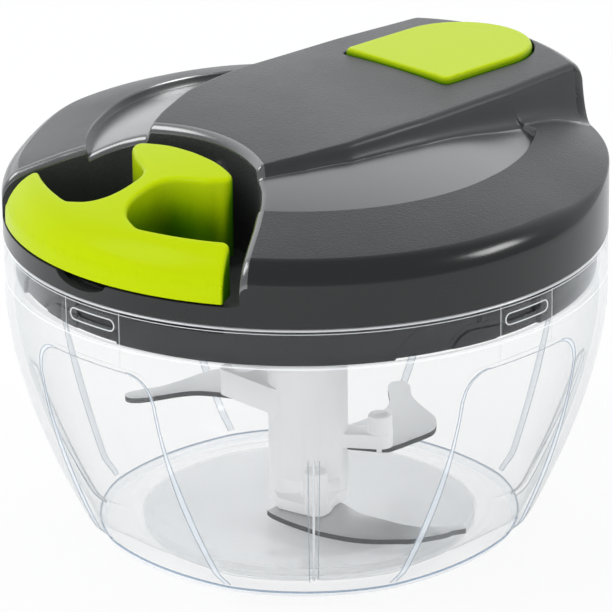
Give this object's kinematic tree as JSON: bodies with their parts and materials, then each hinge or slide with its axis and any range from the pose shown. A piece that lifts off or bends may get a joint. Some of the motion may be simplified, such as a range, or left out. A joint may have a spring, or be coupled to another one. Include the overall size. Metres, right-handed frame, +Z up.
{
  "type": "manual food chopper",
  "caption": "Pull-cord food chopper: clear bowl with pressed flats, domed grey lid with a raised bridge, green pull handle and button, and a white hub that carries curved blades.",
  "frame": {"origin": "middle of the bowl's foot, on the surface that it stands on", "axes": "+Z up along the axis of the bowl and the blades; the handle is pulled towards -Y and the button lies towards +Y"},
  "size_m": [0.15, 0.15, 0.1128],
  "materials": {
    "clear_plastic": "clear, polished",
    "grey_plastic": "fine texture on top, glossy sides",
    "black_plastic": "smooth",
    "green_plastic": "smooth, glossy",
    "white_plastic": "smooth",
    "blade_steel": "polished",
    "bright_steel": "bright drawn",
    "bearing_brass": "sintered",
    "grey_rubber": "matt",
    "black_rubber": "matt",
    "cord": "braided"
  },
  "bodies": {
    "bowl_base": {"bowl": "clear_plastic", "base_pad": "grey_rubber", "pivot_pin": "bright_steel"},
    "blade_unit": {"blade_hub": "white_plastic", "hub_bush": "bearing_brass", "lower_blade": "blade_steel", "middle_blade": "blade_steel", "upper_blade": "blade_steel"},
    "seal_ring": {"lid_seal": "black_rubber"},
    "lid": {"lid_shell": "grey_plastic", "lower_cover": "black_plastic", "cover_screw_1": "bright_steel", "cover_screw_2": "bright_steel", "cover_screw_3": "bright_steel", "cover_screw_4": "bright_steel", "cord_lead": "cord", "cord_eyelet": "bright_steel", "shaft_bush": "bearing_brass", "top_bush": "bearing_brass", "spring_cup": "black_plastic", "return_spring": "bright_steel", "button_spring": "bright_steel", "latch_spring": "bright_steel"},
    "pull_handle": {"handle": "green_plastic", "cord_knot": "cord"},
    "drum": {"cord_drum": "white_plastic", "cord_winding": "cord", "drive_shaft": "bright_steel", "ratchet_wheel": "bright_steel", "clutch_pawl_1": "bright_steel", "clutch_pawl_2": "bright_steel"},
    "button": {"release_button": "green_plastic"},
    "latch": {"lock_latch": "white_plastic"}
  },
  "joints": [
    {"name": "lid_lift", "type": "slide", "parent": "bowl_base", "child": "seal_ring", "axis": [0, 0, 1], "range_m": [0, 0.12]},
    {"name": "lid_turn", "type": "hinge", "parent": "seal_ring", "child": "lid", "pos_m": [0, 0, 0.0788], "axis": [0, 0, -1], "range_deg": [0, 20]},
    {"name": "handle_pull", "type": "slide", "parent": "lid", "child": "pull_handle", "axis": [0, -1, 0], "range_m": [0, 0.3], "stiffness_N_per_m": 20, "springref_m": -0.2},
    {"name": "drum_spin", "type": "hinge", "parent": "lid", "child": "drum", "pos_m": [0, 0, 0.088], "axis": [0, 0, -1], "range_deg": [0, 1155]},
    {"name": "blade_spin", "type": "hinge", "parent": "bowl_base", "child": "blade_unit", "pos_m": [0, 0, 0.0033], "axis": [0, 0, -1], "range_deg": [0, 1155]},
    {"name": "button_press", "type": "slide", "parent": "lid", "child": "button", "axis": [0, 0, -1], "range_m": [0, 0.0022], "stiffness_N_per_m": 600, "springref_m": -0.002, "deforming": ["button_spring"]},
    {"name": "latch_draw", "type": "slide", "parent": "lid", "child": "latch", "axis": [0, -1, 0], "range_m": [0, 0.0022], "deforming": ["latch_spring"]}
  ],
  "couplings": [
    {"joint": "drum_spin", "follows": "handle_pull", "rad_per_m": 67.11},
    {"joint": "blade_spin", "follows": "handle_pull", "rad_per_m": 67.11},
    {"joint": "latch_draw", "follows": "button_press", "ratio": 1}
  ]
}
